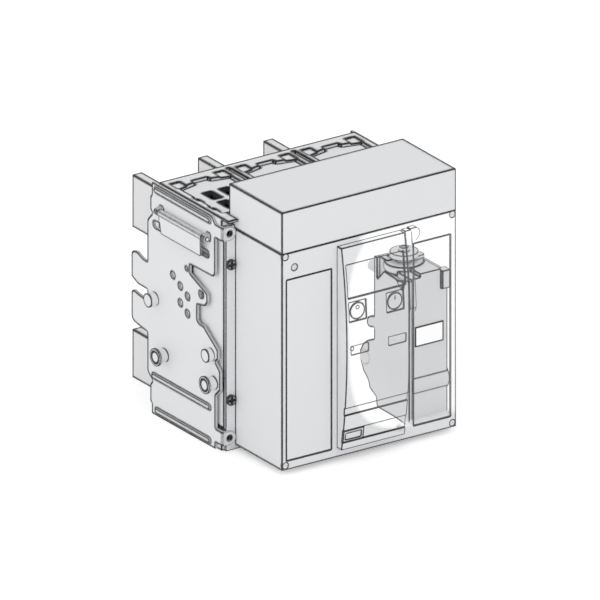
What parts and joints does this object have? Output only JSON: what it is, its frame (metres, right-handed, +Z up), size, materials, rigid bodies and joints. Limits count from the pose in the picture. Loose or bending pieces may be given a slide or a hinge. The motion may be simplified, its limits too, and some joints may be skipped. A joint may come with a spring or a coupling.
{
  "type": "molded case switch disconnector",
  "caption": "Withdrawable three-pole switch disconnector in a moulded case, with plug-in blades, steel side plates with rollers and folding grips, front cover, bezel controls and gear motor.",
  "frame": {"origin": "middle of the footprint of the whole unit, on the surface that the case stands on", "axes": "+X to the right seen from the front, +Y from the front cover to the plug-in blades, +Z up"},
  "size_m": [0.2362, 0.2802, 0.252],
  "materials": {
    "case_plastic": "moulded thermoset, light grey, fine satin grain",
    "arc_steel": "dull plated steel splitter plates",
    "copper": "silver plated copper",
    "shaft_steel": "bright turned steel",
    "bush_plastic": "self lubricating moulded plastic",
    "zinc_steel": "zinc plated sheet steel, satin",
    "screw_steel": "dark plated screws",
    "spring_steel": "oil tempered spring wire",
    "inner_plastic": "pale moulded plastic",
    "motor_plastic": "mid grey moulded plastic",
    "white_label": "white film",
    "cover_plastic": "moulded polycarbonate, light grey, satin",
    "button_plastic": "smooth moulded plastic",
    "clear_plastic": "clear polycarbonate"
  },
  "bodies": {
    "frame": {"case_base": "case_plastic", "arc_chute_1": "case_plastic", "arc_chute_2": "case_plastic", "arc_chute_3": "case_plastic", "arc_plates": "arc_steel", "upper_terminal_1": "copper", "upper_terminal_2": "copper", "upper_terminal_3": "copper", "lower_terminal_1": "copper", "lower_terminal_2": "copper", "lower_terminal_3": "copper", "roller_axles": "shaft_steel", "grip_pins": "shaft_steel", "shaft_bushes": "bush_plastic", "front_frame": "zinc_steel", "side_plate_left": "zinc_steel", "side_plate_right": "zinc_steel", "guide_studs": "zinc_steel", "mech_side_left": "zinc_steel", "mech_side_right": "zinc_steel", "spring_bars": "zinc_steel", "spring_rod": "zinc_steel", "frame_screws": "screw_steel", "cover_screws": "screw_steel", "closing_spring": "spring_steel", "mech_cover": "inner_plastic", "bezel_bracket": "inner_plastic", "terminal_blocks": "inner_plastic", "motor_side_plate": "motor_plastic", "motor_housing": "motor_plastic", "motor_label": "white_label", "front_cover": "cover_plastic", "left_panel": "cover_plastic", "top_hood": "cover_plastic", "bezel": "cover_plastic", "label_holder": "cover_plastic", "clear_panel": "clear_plastic"},
    "pole_shaft": {"pole_shaft": "shaft_steel", "moving_contact_1": "copper", "moving_contact_2": "copper", "moving_contact_3": "copper"},
    "crosshead": {"spring_crosshead": "shaft_steel"},
    "ratchet": {"ratchet_shaft": "shaft_steel"},
    "crank": {"motor_crank": "motor_plastic"},
    "pawl": {"motor_pawl": "motor_plastic"},
    "off_button": {"off_button": "button_plastic"},
    "on_button": {"on_button": "button_plastic"},
    "position_flag": {"position_flag": "white_label"},
    "charge_flag": {"charge_flag": "white_label"},
    "charging_handle": {"charging_handle": "cover_plastic", "handle_shaft": "shaft_steel"},
    "roller_front_left": {"roller_front_left": "bush_plastic"},
    "roller_rear_left": {"roller_rear_left": "bush_plastic"},
    "roller_front_right": {"roller_front_right": "bush_plastic"},
    "roller_rear_right": {"roller_rear_right": "bush_plastic"},
    "grip_left": {"grip_left": "zinc_steel"},
    "grip_right": {"grip_right": "zinc_steel"}
  },
  "joints": [
    {"name": "pole_shaft_turn", "type": "hinge", "parent": "frame", "child": "pole_shaft", "pos_m": [0, 0.0081, 0.07], "axis": [-1, 0, 0], "range_deg": [0, 22]},
    {"name": "crosshead_slide", "type": "slide", "parent": "frame", "child": "crosshead", "axis": [0, 0, -1], "range_m": [0, 0.02], "deforming": ["closing_spring"]},
    {"name": "crank_turn", "type": "hinge", "parent": "frame", "child": "crank", "pos_m": [0.0646, -0.0837, 0.163], "axis": [0, 0, 1], "continuous": true},
    {"name": "ratchet_turn", "type": "hinge", "parent": "frame", "child": "ratchet", "pos_m": [0, -0.0479, 0.056], "axis": [1, 0, 0], "continuous": true},
    {"name": "pawl_swing", "type": "hinge", "parent": "frame", "child": "pawl", "pos_m": [0.0646, -0.0837, 0.159], "axis": [0, 0, 1], "range_deg": [-6, 6]},
    {"name": "off_button_push", "type": "slide", "parent": "frame", "child": "off_button", "axis": [0, 1, 0], "range_m": [0, 0.004], "stiffness_N_per_m": 400, "springref_m": -0.002},
    {"name": "on_button_push", "type": "slide", "parent": "frame", "child": "on_button", "axis": [0, 1, 0], "range_m": [0, 0.004], "stiffness_N_per_m": 400, "springref_m": -0.002},
    {"name": "position_flag_slide", "type": "slide", "parent": "frame", "child": "position_flag", "axis": [0, 0, 1], "range_m": [0, 0.009]},
    {"name": "charge_flag_slide", "type": "slide", "parent": "frame", "child": "charge_flag", "axis": [0, 0, 1], "range_m": [0, 0.009]},
    {"name": "handle_pull", "type": "hinge", "parent": "frame", "child": "charging_handle", "pos_m": [0.037, -0.1319, 0.136], "axis": [1, 0, 0], "range_deg": [0, 90], "stiffness_Nm_per_rad": 0.05, "springref_deg": -34.38},
    {"name": "roller_front_left_turn", "type": "hinge", "parent": "frame", "child": "roller_front_left", "pos_m": [-0.113, -0.0372, 0.063], "axis": [1, 0, 0], "continuous": true},
    {"name": "roller_rear_left_turn", "type": "hinge", "parent": "frame", "child": "roller_rear_left", "pos_m": [-0.113, 0.0406, 0.063], "axis": [1, 0, 0], "continuous": true},
    {"name": "roller_front_right_turn", "type": "hinge", "parent": "frame", "child": "roller_front_right", "pos_m": [0.113, -0.0372, 0.063], "axis": [1, 0, 0], "continuous": true},
    {"name": "roller_rear_right_turn", "type": "hinge", "parent": "frame", "child": "roller_rear_right", "pos_m": [0.113, 0.0406, 0.063], "axis": [1, 0, 0], "continuous": true},
    {"name": "grip_left_swing", "type": "hinge", "parent": "frame", "child": "grip_left", "pos_m": [-0.111, 0.0089, 0.1995], "axis": [0, 1, 0], "range_deg": [0, 90]},
    {"name": "grip_right_swing", "type": "hinge", "parent": "frame", "child": "grip_right", "pos_m": [0.111, 0.0089, 0.1995], "axis": [0, -1, 0], "range_deg": [0, 90]}
  ],
  "couplings": [
    {"joint": "ratchet_turn", "follows": "crank_turn", "ratio": 0.0625},
    {"joint": "position_flag_slide", "follows": "pole_shaft_turn", "m_per_rad": 0.0234},
    {"joint": "charge_flag_slide", "follows": "crosshead_slide", "ratio": 0.45}
  ]
}
